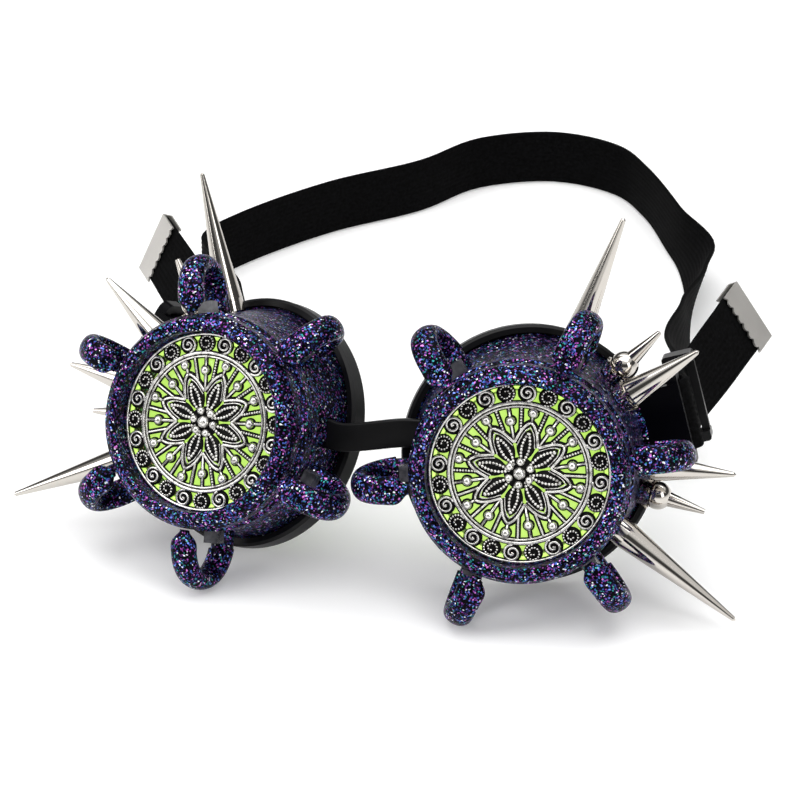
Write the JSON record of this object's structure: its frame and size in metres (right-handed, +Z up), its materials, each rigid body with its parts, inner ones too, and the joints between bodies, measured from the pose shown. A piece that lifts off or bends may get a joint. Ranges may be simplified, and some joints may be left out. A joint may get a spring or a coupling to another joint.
{
  "type": "steampunk goggles",
  "caption": "Goggles with glittered eye cups, claw loops, metal spikes, screw rings that hold filigree plates over green lenses, a rubber nose bridge and an elastic head strap.",
  "frame": {"origin": "middle of the footprint, on the table", "axes": "+Z up, -Y towards the front where the lenses look, +X to the wearer's left"},
  "size_m": [0.2258, 0.341, 0.1059],
  "materials": {
    "glitter_black": "black with fine blue, violet and green glitter",
    "black_rubber": "smooth, half gloss",
    "black_plastic": "moulded",
    "clear_glue": "cloudy clear",
    "nickel": "polished nickel",
    "satin_steel": "satin",
    "green_lens": "bright lime, polished",
    "antique_silver": "antique silver, dark in the hollows",
    "elastic": "ribbed elastic webbing"
  },
  "bodies": {
    "left_goggle": {"left_eye_cup": "glitter_black", "left_face_gasket": "black_rubber", "left_claw_loop_1": "glitter_black", "left_claw_loop_2": "glitter_black", "left_claw_loop_3": "glitter_black", "left_claw_loop_4": "glitter_black", "left_claw_loop_5": "glitter_black", "left_claw_loop_6": "glitter_black", "left_glue_blocks": "clear_glue", "left_upper_long_spike": "nickel", "left_lower_long_spike": "nickel", "left_upper_medium_spike": "nickel", "left_lower_medium_spike": "nickel", "left_upper_ball_stud": "nickel", "left_lower_ball_stud": "nickel", "left_claw_seats": "nickel", "left_spike_screws": "nickel", "left_end_clip": "satin_steel", "nose_bridge": "black_rubber", "head_strap": "elastic"},
    "right_goggle": {"right_eye_cup": "glitter_black", "right_face_gasket": "black_rubber", "right_claw_loop_1": "glitter_black", "right_claw_loop_2": "glitter_black", "right_claw_loop_3": "glitter_black", "right_claw_loop_4": "glitter_black", "right_claw_loop_5": "glitter_black", "right_claw_loop_6": "glitter_black", "right_glue_blocks": "clear_glue", "right_upper_long_spike": "nickel", "right_lower_long_spike": "nickel", "right_upper_medium_spike": "nickel", "right_lower_medium_spike": "nickel", "right_upper_ball_stud": "nickel", "right_lower_ball_stud": "nickel", "right_claw_seats": "nickel", "right_spike_screws": "nickel", "right_end_clip": "satin_steel"},
    "left_lens_seat": {"left_lens": "green_lens"},
    "left_ring": {"left_lens_ring": "glitter_black", "left_filigree": "antique_silver"},
    "left_slider": {"left_strap_slider": "black_plastic"},
    "right_lens_seat": {"right_lens": "green_lens"},
    "right_ring": {"right_lens_ring": "glitter_black", "right_filigree": "antique_silver"},
    "right_slider": {"right_strap_slider": "black_plastic"}
  },
  "joints": [
    {"name": "bridge_flex", "type": "hinge", "parent": "left_goggle", "child": "right_goggle", "pos_m": [0.00801, -0.13838, 0.0441], "axis": [0, 0, -1], "range_deg": [-6, 14], "stiffness_Nm_per_rad": 0.2, "deforming": ["nose_bridge", "head_strap"]},
    {"name": "left_ring_advance", "type": "slide", "parent": "left_goggle", "child": "left_lens_seat", "axis": [0.152, -0.9487, 0.2773], "range_m": [-0.0001, 0.0046]},
    {"name": "left_ring_turn", "type": "hinge", "parent": "left_lens_seat", "child": "left_ring", "pos_m": [0.05368, -0.15005, 0.04512], "axis": [0.152, -0.9487, 0.2773], "range_deg": [0, 1080]},
    {"name": "left_slider_shift", "type": "slide", "parent": "left_goggle", "child": "left_slider", "axis": [-0.152, 0.9487, -0.2773], "range_m": [-0.006, 0.006]},
    {"name": "right_ring_advance", "type": "slide", "parent": "right_goggle", "child": "right_lens_seat", "axis": [-0.1446, -0.9027, 0.4051], "range_m": [-0.0001, 0.0046]},
    {"name": "right_ring_turn", "type": "hinge", "parent": "right_lens_seat", "child": "right_ring", "pos_m": [-0.03782, -0.15005, 0.04661], "axis": [-0.1446, -0.9027, 0.4051], "range_deg": [0, 1080]},
    {"name": "right_slider_shift", "type": "slide", "parent": "right_goggle", "child": "right_slider", "axis": [0.1446, 0.9027, -0.4051], "range_m": [-0.006, 0.006]}
  ],
  "couplings": [
    {"joint": "left_ring_advance", "follows": "left_ring_turn", "m_per_rad": 0.00023873},
    {"joint": "right_ring_advance", "follows": "right_ring_turn", "m_per_rad": 0.00023873}
  ]
}
